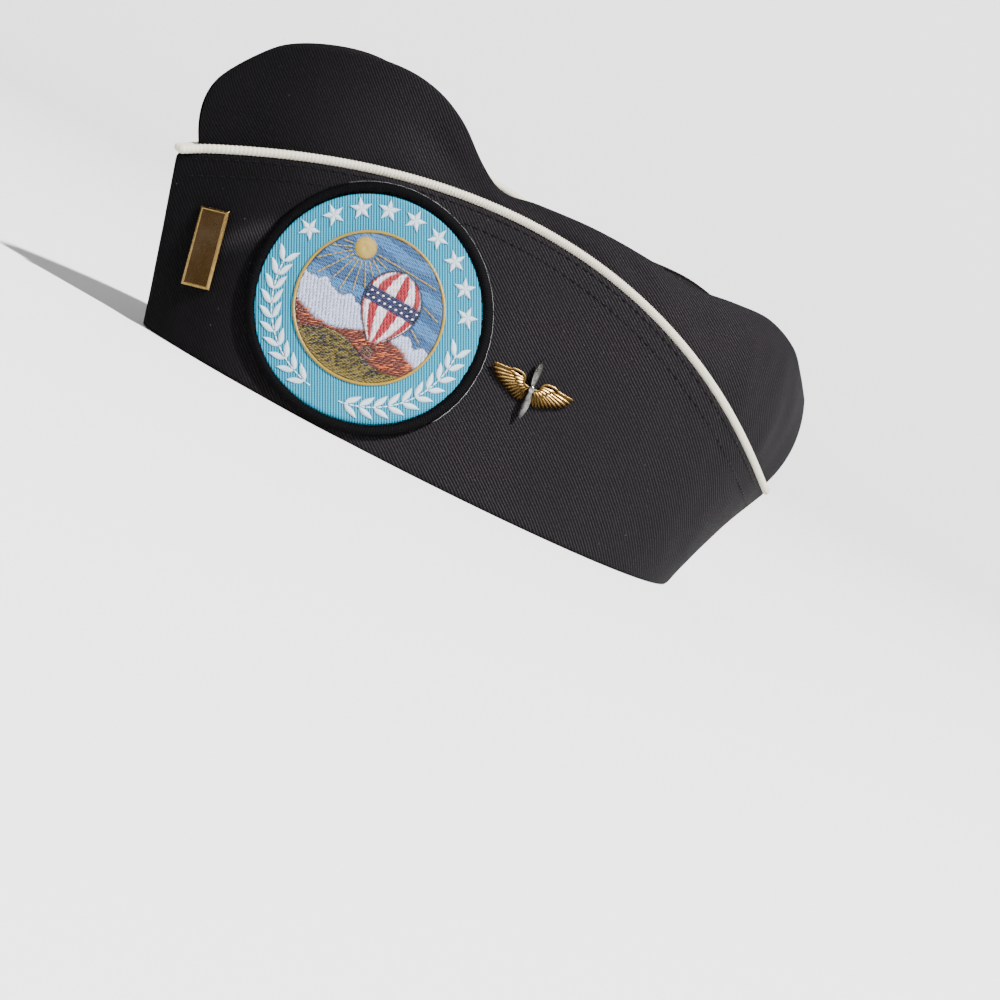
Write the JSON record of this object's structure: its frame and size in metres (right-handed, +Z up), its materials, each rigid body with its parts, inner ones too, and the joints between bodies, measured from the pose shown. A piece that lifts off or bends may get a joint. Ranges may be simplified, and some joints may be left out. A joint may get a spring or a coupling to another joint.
{
  "type": "garrison cap",
  "caption": "Black twill garrison cap with white piping, spread open on its rim, with a round aqua patch, a brass rank bar and a winged propeller badge.",
  "frame": {"origin": "centre of the box around the cap, at the level of the rim that it rests on", "axes": "+Z up from the rim to the crown, -X towards the front, -Y towards the wearer's left side"},
  "size_m": [0.2489, 0.1308, 0.1101],
  "materials": {
    "cloth": "matte twill",
    "braid": "matte knitted cord",
    "aqua_twill": "satin twill",
    "border_thread": "satin thread",
    "gold_thread": "satin thread",
    "picture_thread": "satin thread",
    "brass": "polished",
    "gilt": "satin gilt",
    "silver": "polished"
  },
  "bodies": {
    "root": {"crown_left": "cloth", "crown_right": "cloth", "crown_gusset": "cloth", "curtain_left": "cloth", "curtain_right": "cloth", "piping_left": "braid", "piping_right": "braid", "patch_ground": "aqua_twill", "patch_border": "border_thread", "patch_ring": "gold_thread", "patch_picture": "picture_thread", "rank_bar": "brass", "rank_bar_pin": "silver", "badge_wings": "gilt", "badge_propeller": "silver", "badge_pin": "silver"}
  },
  "joints": []
}
